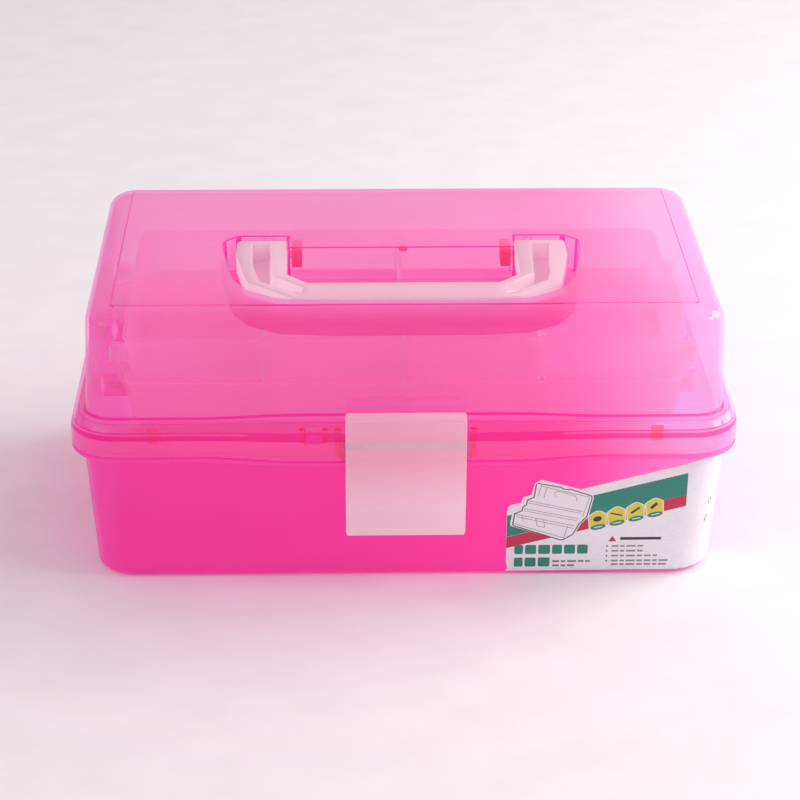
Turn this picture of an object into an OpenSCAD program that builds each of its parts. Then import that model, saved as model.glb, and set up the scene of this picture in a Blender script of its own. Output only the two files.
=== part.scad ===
// Three-tier art supply box: base, rear-hinged lid with a folding handle, rocking
// front latch, and two trays that step up and back on side arms as the lid opens.
// Origin: centre of the base's underside. +X to the right, the front faces -Y, +Z up.

/* [Overall] */
// Width over the rim
rim_w = 330; // [300:1:360]
// Depth over the rim, without latch and hinge
rim_d = 200; // [190:1:220]
// Height of the closed box
box_h = 143.4; // [140:0.2:150]
// Wall thickness of base and lid
wall = 2; // [1.6:0.1:2.4]
// Corner radius of the rim
rim_r = 24; // [18:1:30]

/* [Base] */
// How far the base's foot stands in from the rim, on each side
foot_inset = 10; // [8:0.5:12]
// Height of the underside of the base flange
flange_z = 69; // [66:0.5:71]
// How far the front rim dips in the middle
rim_dip = 2.7; // [0:0.1:3]

/* [Lid] */
// How far the lid's wall stands in from the rim at its foot
lid_inset = 7.8; // [7:0.1:9]
// How far the flat top stands in from the rim
panel_inset = 21.8; // [20:0.1:24]
// Height of the lid skirt's lower edge
skirt_z = 71.6; // [71.6:0.1:72.5]
// Depth of the handle recess
recess_deep = 17.4; // [16:0.1:17.6]

/* [Handle] */
// Half width over the handle's arms
handle_out = 84.3; // [80:0.1:85]
// Half width between the handle's arms
handle_in = 58.4; // [58:0.1:60]
// Thickness of the handle
handle_t = 11; // [9:0.5:11]

/* [Latch] */
// Width of the latch
latch_w = 59; // [56:0.5:60]
// Height of the latch's lower end
latch_foot = 30; // [28:0.5:36]

/* [Trays] */
// Outside width of both trays
tray_w = 276; // [270:1:277]
// Outside depth of both trays
tray_d = 144; // [140:1:146]
// Height of one tray
tray_h = 22.8; // [20:0.1:22.8]
// Height of the lower tray's underside
lower_tray_z = 78; // [77:0.5:78]
// Wall thickness of trays and dividers
tray_wall = 1.6; // [1.2:0.1:2]

/* [Arms] */
// Distance from an arm's base pivot to the lower tray's pivot
arm_step = 44; // [43:0.5:44]
// Angle of the arms above the horizontal with the box closed
arm_angle = 35; // [34:0.5:36]
// Radius of the arm, link and tray pivot pins
pin_r = 2; // [1.8:0.1:2.2]
// Radial clearance of every pin that turns
run = 0.05; // [0.03:0.01:0.09]

/* [Hidden] */
SHELL_FN = 32;
PIN_FN = 48;
e = 0.05;                                   // thickness of the plates that a hull joins
seat = 0.02;                                // radial gap of a pin that stays put
embed = 0.3;                                // how far a boss runs into the wall it stands on

half_w = rim_w / 2;
half_d = rim_d / 2;

foot_r = 20;
foot_round = 4;
upstand_z = 81.5;
flange_t = 2;
draft = 0.065;                              // outward lean of the base wall per mm of height

lid_foot_z = 88.6;
lid_draft = 0.038;
shoulder_z = 135.4;
panel_z = box_h;
lid_r = 15;
flange_under_z = 84.2;
skirt_gap = wall;

hinge_y = half_d + 4;
hinge_z = 76;
knuckle_r = 3.5;
hinge_pin_r = 1.5;
hinge_x = 95;
knuckle_w = 9;

latch_y = -98.8;
latch_z = 77;
latch_face_y = -105;
latch_t = 2.2;
lug_r = 3.2;
lug_x = 22.3;
lug_w = 5.3;
latch_top = 94.8;
notch_half = latch_w / 2 + 2;
window_x = -45;                             // small window in the rim, left of the latch
window_w = 8.7;
locator_x = 123;
lug_in = 3.2;                               // how far lugs and ribs reach in behind the rim
catch_half = 27;

recess_floor = box_h - recess_deep;
recess_wall = 1.6;
recess_mid_y = -4;
recess_back_y = 12;
pivot_y = 2.5;
pivot_z = box_h - 0.9 - handle_t / 2;
boss_in = 51;
boss_out = 57.8;

tray_y = -3;                                // middle of the trays, front to back
tray_gap = 0.4;
tray_foot_inset = 3;
upper_tray_z = lower_tray_z + tray_h + tray_gap;
arm_in = tray_w / 2 + 3;
arm_t = 3;
arm_half = 6;
front_pivot_y = 6;
rear_pivot_y = 76;
base_pivot_z = 62;
link_step = 64;                             // base pivot to the link's pin, along the rear arm
lid_pivot = [77, 97];
link_in = arm_in + arm_t + 2.2;
link_t = 2.5;
link_play = 3.8;                            // extra radius of the link's loose eye
divider_x = [-70, 0, 70];

label_left = 50.7;
film_out = 0.3;                             // outer and inner face of the label, off the wall
film_in = 0.04;

function arm_point(y, r) = [y - r * cos(arm_angle), base_pivot_z + r * sin(arm_angle)];
function base_half(z) = half_w - foot_inset + draft * z;
function lid_half(z) = half_w - lid_inset - lid_draft * (z - lid_foot_z);
// Height of the rim's lower edge along X: level, then dipping either side of the latch
function dip(x) = let (t = min(1, max(0, (abs(x) - 50) / 50))) rim_dip * (1 + cos(180 * t)) / 2;

// Flat plate with rounded corners; w is its half width, and its half depth is w minus the same
// amount on every level, so that all walls stand in equally from the rim
module plate(w, r, z, t = e, fn = SHELL_FN) {
    d = w - (half_w - half_d);
    translate([0, 0, z])
        linear_extrude(t) {
            square([2 * w, 2 * (d - r)], center = true);
            square([2 * (w - r), 2 * d], center = true);
            for (sx = [-1, 1], sy = [-1, 1])
                translate([sx * (w - r), sy * (d - r)]) circle(r, $fn = fn);
        }
}

module base_solid(off) {
    hull() {
        plate(base_half(0) - foot_round + off, foot_r - foot_round + off, -off);
        plate(base_half(1.2) - foot_round * 0.3 + off, foot_r - 1 + off, 1.2 - off);
        plate(base_half(foot_round) + off, foot_r + off, foot_round);
        plate(base_half(upstand_z) + off, foot_r + off, upstand_z - e);
    }
}

// A pin along X, from x0 to x1, at (y, z)
module x_pin(x0, x1, y, z, r) {
    translate([min(x0, x1), y, z]) rotate([0, 90, 0]) cylinder(r = r, h = abs(x1 - x0), $fn = PIN_FN);
}

module side_pair() { children(); mirror([1, 0, 0]) children(); }

// Layer between two heights of the rim, both of which dip in the middle of the front
module rim_layer(low, high) {
    steps = 40;
    reach = half_w + 10;
    xs = [for (i = [0:steps]) -reach + 2 * reach * i / steps];
    translate([0, -half_d + 30, 0]) rotate([90, 0, 0]) linear_extrude(60)
        polygon(concat([for (x = xs) [x, low - dip(x)]],
            [for (i = [steps:-1:0]) [xs[i], high - dip(xs[i])]]));
    translate([-rim_w, -half_d + 30, low]) cube([2 * rim_w, rim_d, high - low]);
}

// Band of the rim from one height to another, reaching in as far as the inner plan
module rim_band(low, high, inner_w, inner_r) {
    intersection() {
        rim_layer(low, high);
        difference() {
            plate(half_w, rim_r, low - rim_dip, high - low + rim_dip);
            plate(inner_w, inner_r, low - rim_dip - 1, high - low + rim_dip + 2);
        }
    }
}

module base_knuckles() {
    for (side = [-1, 1], i = [-1, 1]) {
        x = side * hinge_x + i * (knuckle_w + 0.4);
        x_pin(x - knuckle_w / 2, x + knuckle_w / 2, hinge_y, hinge_z, knuckle_r);
        translate([x - knuckle_w / 2, hinge_y - knuckle_r, flange_z])
            cube([knuckle_w, 2 * knuckle_r, hinge_z - flange_z]);
        translate([x - knuckle_w / 2, half_d - 4, flange_z]) cube([knuckle_w, 6, flange_t]);
    }
}

module latch_lugs() {
    for (side = [-1, 1]) {
        x0 = side * lug_x - lug_w / 2;
        x_pin(x0, x0 + lug_w, latch_y, latch_z, lug_r);
        translate([x0, latch_y - lug_r + 1.2, flange_z])
            cube([lug_w, 2 * lug_r - 1.2, latch_z - flange_z]);
        translate([x0, latch_y, flange_z]) cube([lug_w, 4, latch_z + lug_r - flange_z]);
    }
}

module arm_bosses() {
    side_pair() for (y = [front_pivot_y, rear_pivot_y])
        x_pin(arm_in + arm_t + 0.4, base_half(base_pivot_z) - wall + embed, y, base_pivot_z, 6);
}

module base_box() {
    color("deeppink") difference() {
        union() {
            difference() {
                base_solid(0);
                hull() {
                    plate(base_half(0) - foot_round - wall, foot_r - foot_round - wall, wall);
                    plate(base_half(foot_round) - wall, foot_r - wall, foot_round + wall);
                    plate(base_half(upstand_z) - wall, foot_r - wall, upstand_z + 1);
                }
            }
            rim_band(flange_z, flange_z + flange_t, base_half(flange_z) - wall / 2, foot_r);
            base_knuckles();
            latch_lugs();
            arm_bosses();
        }
        for (side = [-1, 1])
            x_pin(side * hinge_x - 20, side * hinge_x + 20, hinge_y, hinge_z, hinge_pin_r + seat);
        x_pin(-40, 40, latch_y, latch_z, hinge_pin_r + seat);
        side_pair() for (y = [front_pivot_y, rear_pivot_y])
            x_pin(arm_in, arm_in + arm_t + 10, y, base_pivot_z, pin_r + seat);
    }
}

// Plan of the handle recess: wide ends reach further back than the middle
module recess_plan(grow) {
    half = [[boss_out - grow, recess_mid_y + grow], [boss_out - grow, recess_back_y + grow],
        [84 + grow, recess_back_y + grow], [89 + grow, 7 + grow], [91 + grow, -2],
        [88.5 + grow, -24], [84.5 + grow, -45], [79 + grow, -56 - grow / 2],
        [69 + grow / 2, -66 - grow], [57, -70.6 - grow], [30, -72.6 - grow]];
    polygon(concat(half, [for (i = [len(half) - 1:-1:0]) [-half[i][0], half[i][1]]]));
}

module lid_shell_solid(off) {
    hull() {
        plate(lid_half(lid_foot_z) + off, lid_r + off, flange_under_z + 1);
        plate(lid_half(shoulder_z) + off, lid_r + off, shoulder_z);
        for (t = [25, 50, 72]) {
            drop = (lid_half(shoulder_z) - (half_w - panel_inset)) * (1 - cos(t));
            plate(lid_half(shoulder_z) - drop + off, lid_r - drop + off,
                shoulder_z + (panel_z - shoulder_z - 0.4) * sin(t) + off);
        }
        plate(half_w - panel_inset + off, 2.4, panel_z + off - e);
    }
}

module lid_skirt() {
    rim_band(skirt_z, skirt_z + 1, half_w - skirt_gap, rim_r - skirt_gap);
    difference() {
        hull() {
            plate(half_w, rim_r, skirt_z);
            plate(half_w, rim_r, 82);
            plate(half_w - 1.4, rim_r - 1.4, 85.6);
            plate(half_w - 4, rim_r - 4, 88);
            plate(half_w - 6.5, rim_r - 6.5, lid_foot_z);
        }
        hull() {
            plate(half_w - skirt_gap + 0.2, rim_r - skirt_gap + 0.2, skirt_z - 1);
            plate(half_w - skirt_gap, rim_r - skirt_gap, 82);
            plate(half_w - 4, rim_r - 4, flange_under_z);
        }
        plate(lid_half(lid_foot_z) - wall / 2, lid_r, flange_under_z - 1, 10);
    }
}

// Blocks under the panel that hold the handle's pivot pins
module handle_bosses() {
    side_pair() translate([boss_in, recess_mid_y, pivot_z - handle_t / 2])
        cube([boss_out - boss_in, recess_back_y - recess_mid_y, panel_z - 1 - pivot_z + handle_t / 2]);
}

module lid() {
    color("hotpink") difference() {
        union() {
            difference() {
                union() { lid_shell_solid(0); lid_skirt(); }
                lid_shell_solid(-wall);
                plate(lid_half(lid_foot_z) - wall, lid_r - wall, flange_under_z - 2, 8);
            }
            translate([0, 0, recess_floor - recess_wall])
                linear_extrude(recess_deep + recess_wall - 0.5) recess_plan(recess_wall);
            handle_bosses();
            // catch pad that the latch's hook closes against
            translate([-catch_half, -lid_half(lid_foot_z) + half_w - half_d - 1.6, lid_foot_z - 1])
                cube([2 * catch_half, 3, 12]);
            // inside the front rim: locating lugs, and ribs beside the window and the notch
            for (x = [-locator_x, locator_x]) translate([x - 3, -half_d + 1, 78]) cube([6, lug_in, 8]);
            for (side = [-1, 1]) translate([window_x + side * (window_w + 2.4) / 2 - 1.2, -half_d + 1, 78])
                cube([2.4, lug_in, 8]);
            side_pair() translate([notch_half - 0.5, -half_d + 1, skirt_z + 0.4]) cube([2.9, lug_in, 14]);
            for (side = [-1, 1]) {
                x_pin(side * hinge_x - knuckle_w / 2 + 0.2, side * hinge_x + knuckle_w / 2 - 0.2,
                    hinge_y, hinge_z, knuckle_r);
                translate([side * hinge_x - knuckle_w / 2 + 0.2, half_d - 1, hinge_z - 2])
                    cube([knuckle_w - 0.4, 3.6, 5]);
            }
            side_pair() x_pin(link_in + link_t + 0.3, lid_half(lid_pivot[1]) - wall + embed,
                lid_pivot[0], lid_pivot[1], 5);
        }
        translate([0, 0, recess_floor]) linear_extrude(recess_deep + 1) recess_plan(0);
        // notch in the front rim for the latch, and the small window beside it
        translate([-notch_half, -half_d - 1, skirt_z - 4]) cube([2 * notch_half, 3.1, 33]);
        translate([-notch_half, -half_d, skirt_z - 4]) cube([2 * notch_half, 7.2, 14.2]);
        translate([window_x - window_w / 2, -half_d - 1, 78]) cube([window_w, 4.5, 8]);
        for (side = [-1, 1])
            x_pin(side * hinge_x - 20, side * hinge_x + 20, hinge_y, hinge_z, hinge_pin_r + run);
        side_pair() {
            x_pin(boss_in - 1, boss_out + 1, pivot_y, pivot_z, pin_r + seat);
            x_pin(link_in, link_in + link_t + 4.5, lid_pivot[0], lid_pivot[1], pin_r + seat);
        }
    }
}

module handle_plan() {
    half = [[handle_out, pivot_y], [handle_out, -11], [79, -45], [56, -66.6], [46.5, -68.4]];
    inner = [[48, -48], [handle_in, -36.5], [handle_in, pivot_y]];
    polygon(concat(half, [for (i = [len(half) - 1:-1:0]) [-half[i][0], half[i][1]]],
        [for (i = [len(inner) - 1:-1:0]) [-inner[i][0], inner[i][1]]], inner));
}

module handle() {
    color("white") difference() {
        union() {
            translate([0, 0, pivot_z - handle_t / 2]) linear_extrude(handle_t) handle_plan();
            side_pair() x_pin(handle_in, handle_out, pivot_y, pivot_z, handle_t / 2);
        }
        // the arms are hollow from above
        side_pair() translate([0, 0, pivot_z - handle_t / 2 + 2.5]) linear_extrude(handle_t)
            polygon([[handle_in + 8.5, 3], [handle_out - 7.4, 3], [handle_out - 8, -22], [72, -45.5],
                [50, -64], [50, -54.5], [65.2, -37]]);
        side_pair() x_pin(handle_in - 1, handle_in + 8, pivot_y, pivot_z, pin_r + run);
    }
}

module handle_pins() {
    color("pink") side_pair() x_pin(boss_in + 0.5, handle_in + 7, pivot_y, pivot_z, pin_r);
}

module latch() {
    half = latch_w / 2;
    hook_tip = -half_d + 2;
    color("mistyrose") difference() {
        union() {
            // face, top and hook in one side profile
            translate([-half, 0, 0]) rotate([90, 0, 90]) linear_extrude(latch_w)
                polygon([[latch_face_y + 1, latch_foot], [latch_face_y, latch_foot + 20],
                    [latch_face_y, latch_top - 5], [latch_face_y + 0.8, latch_top - 2], [latch_face_y + 3, latch_top],
                    [hook_tip, latch_top], [hook_tip, latch_top - latch_t], [latch_face_y + 4, latch_top - latch_t],
                    [latch_face_y + latch_t, latch_top - 4.5], [latch_face_y + latch_t, latch_foot + 20],
                    [latch_face_y + latch_t + 1, latch_foot]]);
            // side walls: deep round the pivot, shallow below it
            for (side = [-1, 1]) translate([side > 0 ? half - latch_t : -half, 0, 0]) {
                rotate([90, 0, 90]) linear_extrude(latch_t)
                    polygon([[latch_face_y + 1.5, latch_foot + 0.5], [latch_face_y + 5, latch_foot + 2],
                        [latch_face_y + 3.6, 56], [latch_face_y + 2.6, 63], [latch_face_y + 2.6, 71.5],
                        [latch_y - 2, latch_z - 3], [latch_y, latch_top - 4], [latch_face_y + 1, latch_top - 1]]);
                x_pin(0, latch_t, latch_y, latch_z, 3.4);
            }
        }
        x_pin(-half - 1, half + 1, latch_y, latch_z, hinge_pin_r + run);
    }
}

module latch_pin() {
    color("silver") x_pin(-latch_w / 2 + 0.6, latch_w / 2 - 0.6, latch_y, latch_z, hinge_pin_r);
}

module hinge_pins() {
    color("silver") for (side = [-1, 1])
        x_pin(side * hinge_x - 13.5, side * hinge_x + 13.5, hinge_y, hinge_z, hinge_pin_r);
}

module tray_plate(off, z, r) {
    w = tray_w / 2 + off;
    d = tray_d / 2 + off;
    translate([0, tray_y, z]) linear_extrude(e) {
        square([2 * w, 2 * (d - r)], center = true);
        square([2 * (w - r), 2 * d], center = true);
        for (sx = [-1, 1], sy = [-1, 1])
            translate([sx * (w - r), sy * (d - r)]) circle(r, $fn = SHELL_FN);
    }
}

// One tray whose underside is at z, with arm pivots at the points given as [y, z]
module tray(z, pivots) {
    difference() {
        union() {
            difference() {
                hull() {
                    tray_plate(-tray_foot_inset, z, 6);
                    tray_plate(-1.6, z + 1.5, 7);
                    tray_plate(0, z + tray_h - e, 8);
                }
                hull() {
                    tray_plate(-tray_foot_inset - tray_wall, z + tray_wall, 5);
                    tray_plate(-tray_wall, z + tray_h, 7);
                }
            }
            // paired ribs that hold the dividers, front and back
            for (x = divider_x, side = [-1, 1], end = [-1, 1])
                translate([x + side * (tray_wall / 2 + 0.9) - 0.6,
                    tray_y + end * (tray_d / 2 - 5.5) - 2.5, z + 1]) cube([1.2, 5, tray_h - 3]);
            side_pair() for (p = pivots)
                x_pin(tray_w / 2 - 2.2, arm_in - 0.4, p[0], p[1], 5);
        }
        side_pair() for (p = pivots)
            x_pin(tray_w / 2 - 10, arm_in + 1, p[0], p[1], pin_r + seat);
    }
}

module tray_dividers(z) {
    h = tray_h - 4;
    len = tray_d - 2 * tray_foot_inset - 2 * tray_wall - 0.6;
    for (x = divider_x)
        translate([x - tray_wall / 2 + 0.1, tray_y - len / 2, z + tray_wall + 0.1])
            difference() {
                cube([tray_wall - 0.2, len, h]);
                translate([-1, len / 2, h + 14]) rotate([0, 90, 0])
                    cylinder(r = 18, h = tray_wall + 2, $fn = PIN_FN);
            }
}

function tray_pivots(r) = [for (y = [front_pivot_y, rear_pivot_y]) arm_point(y, r)];

module lower_tray() { color("pink") tray(lower_tray_z, tray_pivots(arm_step)); }
module upper_tray() { color("pink") tray(upper_tray_z, tray_pivots(2 * arm_step)); }
module lower_dividers() { color("white") tray_dividers(lower_tray_z); }
module upper_dividers() { color("white") tray_dividers(upper_tray_z); }

// A flat part in the plane of the side, cut from a [y, z] outline and t thick from x outwards
module side_plate(x, t) { translate([x, 0, 0]) rotate([90, 0, 90]) linear_extrude(t) children(); }

module eye(p, r) { translate(p) circle(r, $fn = PIN_FN); }

// A bar between two [y, z] points, as an outline
module bar(a, b, half) {
    translate(a) rotate(atan2(b[1] - a[1], b[0] - a[0])) translate([0, -half]) square([norm(b - a), 2 * half]);
}

module arm(y, link_hole = false) {
    stops = [for (i = [0:2]) arm_point(y, i * arm_step)];
    color("lightpink") side_plate(arm_in, arm_t) difference() {
        union() {
            bar(stops[0], stops[2], arm_half - 1.2);
            for (p = stops) eye(p, arm_half);
        }
        for (p = stops) eye(p, pin_r + run);
        if (link_hole) eye(arm_point(y, link_step), pin_r + seat);
    }
}

module rear_arm_right() { arm(rear_pivot_y, true); }
module rear_arm_left() { mirror([1, 0, 0]) rear_arm_right(); }
module front_arm_right() { arm(front_pivot_y); }
module front_arm_left() { mirror([1, 0, 0]) front_arm_right(); }

module lid_link_right() {
    loose_end = arm_point(rear_pivot_y, link_step);
    color("lightpink") side_plate(link_in, link_t) difference() {
        union() {
            bar(lid_pivot, loose_end, 3.6);
            eye(lid_pivot, 4.8);
            eye(loose_end, pin_r + link_play + 2.5);
        }
        eye(loose_end, pin_r + link_play);
        eye(lid_pivot, pin_r + run);
    }
}
module lid_link_left() { mirror([1, 0, 0]) lid_link_right(); }

// A rivet along +X: shank from x0 to x1 with a flat head at x1
module rivet(x0, x1, p, head_r = 3.6, head_t = 1.1) {
    x_pin(x0, x1 + e, p[0], p[1], pin_r);
    x_pin(x1, x1 + head_t, p[0], p[1], head_r);
}

// A rivet whose head is on the inner side
module inner_rivet(x0, x1, p, head_r = 3.6, head_t = 1.1) {
    x_pin(x0, x1, p[0], p[1], pin_r);
    x_pin(x0 - head_t, x0 + e, p[0], p[1], head_r);
}

module base_pivot_pins() {
    color("silver") side_pair() for (y = [front_pivot_y, rear_pivot_y])
        inner_rivet(arm_in - 0.3, arm_in + arm_t + 9, [y, base_pivot_z]);
}

module tray_pins(r) {
    color("silver") side_pair() for (p = tray_pivots(r))
        rivet(tray_w / 2 - 2.4, arm_in + arm_t + 0.3, p);
}
module lower_tray_pins() { tray_pins(arm_step); }
module upper_tray_pins() { tray_pins(2 * arm_step); }

module arm_link_pins() {
    color("silver") side_pair()
        rivet(arm_in + 0.2, link_in + link_t + 0.4, arm_point(rear_pivot_y, link_step),
            head_r = pin_r + link_play + 1.6);
}

module lid_link_pins() {
    color("silver") side_pair() inner_rivet(link_in - 0.3, link_in + link_t + 4.2, lid_pivot, head_t = 1);
}

// Printed film that wraps round the front right corner
module label() {
    left = label_left;
    color("white") intersection() {
        difference() {
            base_solid(film_out);
            base_solid(film_in);
        }
        translate([0, -half_d + 32.5, 0]) rotate([90, 0, 0]) linear_extrude(34)
            polygon([[left, 1.6], [left, 40.2], [left + 7, 41.8], [left + 8, 45.2], [left + 12, 46.4],
                [left + 13.5, 53.2], [left + 16.5, 55.2], [left + 36.5, 49.4], [150, 67],
                [half_w, 67.5], [half_w, 1.6]]);
    }
}

base_box();
lid();
handle();
handle_pins();
latch();
latch_pin();
hinge_pins();
lower_tray();
upper_tray();
lower_dividers();
upper_dividers();
rear_arm_left();
rear_arm_right();
front_arm_left();
front_arm_right();
lid_link_left();
lid_link_right();
base_pivot_pins();
lower_tray_pins();
upper_tray_pins();
arm_link_pins();
lid_link_pins();
label();
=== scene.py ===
"""Looks of a three-tier art supply box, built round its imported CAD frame. Lengths are in millimetres."""

import math

import bmesh
import bpy
from mathutils import Matrix, Vector, geometry


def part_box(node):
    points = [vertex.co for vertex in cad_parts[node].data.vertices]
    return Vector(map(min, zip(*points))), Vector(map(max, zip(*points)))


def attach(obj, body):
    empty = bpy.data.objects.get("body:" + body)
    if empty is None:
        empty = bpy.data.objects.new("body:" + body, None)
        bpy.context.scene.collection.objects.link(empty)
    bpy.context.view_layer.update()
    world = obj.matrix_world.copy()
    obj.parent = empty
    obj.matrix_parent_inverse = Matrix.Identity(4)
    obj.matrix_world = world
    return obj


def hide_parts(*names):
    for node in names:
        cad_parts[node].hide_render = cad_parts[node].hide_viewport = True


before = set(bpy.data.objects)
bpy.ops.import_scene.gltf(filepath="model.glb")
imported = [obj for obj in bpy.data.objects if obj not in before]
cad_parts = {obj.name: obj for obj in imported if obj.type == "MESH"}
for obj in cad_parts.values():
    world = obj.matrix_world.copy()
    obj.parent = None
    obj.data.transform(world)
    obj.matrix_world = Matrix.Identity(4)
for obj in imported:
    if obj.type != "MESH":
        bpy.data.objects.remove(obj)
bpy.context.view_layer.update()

MM = 0.001


def box_mm(node):
    """Lowest and highest corner of a CAD node."""
    low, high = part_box(node)
    return low / MM, high / MM


def centre_mm(node):
    low, high = box_mm(node)
    return (low + high) / 2


LID_LOW, LID_HIGH = box_mm("lid")
LATCH_LOW, LATCH_HIGH = box_mm("latch")
HANDLE_LOW, HANDLE_HIGH = box_mm("handle")
HINGE = centre_mm("hinge_pins")
HINGE_X = box_mm("hinge_pins")[1].x - 13.5        # middle of the right-hand hinge, whose pin is 27 long
LATCH_PIN = centre_mm("latch_pin")
HANDLE_PIVOT = centre_mm("handle_pins")
LINK_PIVOT = centre_mm("lid_link_pins")
ARM_IN = box_mm("rear_arm_right")[0].x            # inner and outer face of the right-hand arms
ARM_OUT = box_mm("rear_arm_right")[1].x
LINK_OUT = box_mm("lid_link_right")[1].x
STEEL_BORE = 1.52                     # radius of the bores for the steel pins
PLASTIC_BORE = 2.02                   # radius of the bores for the plastic pins

RIM_X = LID_HIGH.x                    # half width over the rim
RIM_Y = -LID_LOW.y                    # half depth over the rim
TOP = LID_HIGH.z
RIM_R = 24                            # corner radius of the rim
DIP = 2.7                             # how far the front rim drops behind the latch
FLANGE_Z = 69                         # underside of the base flange
SKIRT_Z = FLANGE_Z + 2.6              # lower edge of the lid's skirt
UPSTAND_Z = box_mm("base_box")[1].z   # top edge of the base's wall, inside the lid
PIVOT_Z = 62                          # height of the arms' pivots on the base
WALL = 2
FOOT_INSET = 10                       # the base's foot, in from the rim
FOOT_R = 20                           # corner radius of the base's wall
FOOT_ROUND = 3.6                      # fillet under the base's wall
DRAFT = 0.065                         # outward lean of the base's wall
LID_INSET = 7.8                       # the foot of the lid's wall, in from the rim
LID_DRAFT = 0.038                     # inward lean of the lid's wall
LID_FOOT_Z = 88.6
LID_R = 15                            # corner radius of the lid's wall
SHOULDER_Z = TOP - 8                  # where the wall starts to curve into the panel
RIM_STEP_Z = 80.9                     # step in the lid's rim
WINDOW = (-49.4, -40.7)               # the small window left of the latch, along X
CATCH_HALF = 27                       # half length of the catch pad under the latch's hook
PANEL_INSET = 21.8                    # edge of the flat top, in from the rim
RECESS_FLOOR = TOP - 17.4
RECESS_WALL = 1.6
RECESS_BACK = -4                      # Y of the recess's back wall, between the handle's bosses
BOSS_IN = 51                          # the bosses of the handle's pins, along X
BOSS_OUT = 57.8


# ---------------------------------------------------------------- outlines

def swell(x):
    """1 in the middle of the front, easing to 0 to either side of the latch."""
    t = min(1, max(0, (abs(x) - 50) / 50))
    return (1 + math.cos(math.pi * t)) / 2


def rounded_loop(half_x, half_y, r, mid_y=0, corner=7, long_side=44, short_side=10):
    """Rounded rectangle, anticlockwise from +X, with the same number of points whatever its size."""
    quarters = ((1, 1), (-1, 1), (-1, -1), (1, -1))
    points = []
    for i, (sx, sy) in enumerate(quarters):
        for k in range(corner + 1):
            a = math.radians(90 * i + 90 * k / corner)
            points.append((sx * (half_x - r) + r * math.cos(a), mid_y + sy * (half_y - r) + r * math.sin(a)))
        tx, ty = quarters[(i + 1) % 4]
        a = math.radians(90 * (i + 1))
        start = points[-1]
        end = (tx * (half_x - r) + r * math.cos(a), mid_y + ty * (half_y - r) + r * math.sin(a))
        count = long_side if i % 2 == 0 else short_side
        for k in range(1, count):
            t = k / count
            points.append((start[0] + (end[0] - start[0]) * t, start[1] + (end[1] - start[1]) * t))
    return points


def fillet(path, closed=False, steps=3):
    """Rounds a path of (x, y, radius, ...) entries. What follows the radius is carried along."""
    out = []
    for i, entry in enumerate(path):
        here, r, rest = Vector(entry[:2]), entry[2], tuple(entry[3:])
        if r <= 0 or (not closed and i in (0, len(path) - 1)):
            out.append((here.x, here.y, *rest))
            continue
        back = Vector(path[i - 1][:2]) - here
        ahead = Vector(path[(i + 1) % len(path)][:2]) - here
        half = back.angle(ahead) / 2
        reach = min(r / math.tan(half), back.length * 0.48, ahead.length * 0.48)
        back.normalize()
        ahead.normalize()
        for k in range(steps + 1):
            t = k / steps
            p = here + back * reach * (1 - t) ** 2 + ahead * reach * t ** 2
            out.append((p.x, p.y, *rest))
    return out


def grown(outline, by):
    """A closed anticlockwise outline of (x, y, radius) moved outwards."""
    out = []
    for i, (x, y, r) in enumerate(outline):
        before, after = outline[i - 1], outline[(i + 1) % len(outline)]
        e1 = Vector((x - before[0], y - before[1])).normalized()
        e2 = Vector((after[0] - x, after[1] - y)).normalized()
        n1, n2 = Vector((e1.y, -e1.x)), Vector((e2.y, -e2.x))
        shift = (n1 + n2) * by / max(0.3, 1 + n1.dot(n2))
        convex = e1.x * e2.y - e1.y * e2.x > 0
        out.append((x + shift.x, y + shift.y, max(0.05, r + (by if convex else -by))))
    return out


def mirrored(half):
    """A closed outline from its right half."""
    return list(half) + [(-x, y, r) for x, y, r in reversed(half)]


def anticlockwise(outline):
    area = sum(a[0] * b[1] - b[0] * a[1] for a, b in zip(outline, outline[1:] + outline[:1]))
    return outline if area > 0 else outline[::-1]


def ellipse(cx, cy, rx, ry, tilt=0.0, count=20):
    out = []
    for k in range(count):
        a = 2 * math.pi * k / count
        u, v = rx * math.cos(a), ry * math.sin(a)
        x = cx + u * math.cos(tilt) - v * math.sin(tilt)
        y = cy + u * math.sin(tilt) + v * math.cos(tilt)
        out.append((x, y))
    return out


# ---------------------------------------------------------------- meshes

def add_ring(bm, points):
    return [bm.verts.new(p) for p in points]


def bridge(bm, a, b):
    for i in range(len(a)):
        j = (i + 1) % len(a)
        bm.faces.new((a[i], a[j], b[j], b[i]))


def chain(bm, loops):
    """Skins a row of loops and returns the first and the last ring."""
    rings = [add_ring(bm, loop) for loop in loops]
    for a, b in zip(rings, rings[1:]):
        bridge(bm, a, b)
    return rings[0], rings[-1]


def fill_between(bm, rings):
    """Flat face inside the first ring with the others as holes."""
    edges = []
    for ring in rings:
        for i in range(len(ring)):
            edges.append(bm.edges.get((ring[i], ring[(i + 1) % len(ring)])))
    bmesh.ops.triangle_fill(bm, use_beauty=True, edges=edges)


def mesh_object(name, bm, material, smooth=35):
    bmesh.ops.remove_doubles(bm, verts=bm.verts, dist=1e-4)
    bmesh.ops.recalc_face_normals(bm, faces=bm.faces)
    bmesh.ops.scale(bm, vec=(MM, MM, MM), verts=bm.verts)
    mesh = bpy.data.meshes.new(name)
    bm.to_mesh(mesh)
    bm.free()
    obj = bpy.data.objects.new(name, mesh)
    bpy.context.scene.collection.objects.link(obj)
    if material:
        mesh.materials.append(material)
    shade(obj, smooth)
    return obj


def paint_edge_shade(obj, material, also=lambda face: False, width=0.8):
    """Paints shade on the narrow faces, which are those that round an edge, and on some others, by giving
    them a deeper tinted copy of the material.
    """
    obj.data.materials.append(material)
    for face in obj.data.polygons:
        corners = [obj.data.vertices[i].co for i in face.vertices]
        sides = [(a - b).length for a, b in zip(corners, corners[1:] + corners[:1])]
        narrow = len(sides) == 4 and min(max(sides[0], sides[2]), max(sides[1], sides[3])) < width * MM
        face.material_index = int(narrow or also(face))


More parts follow.
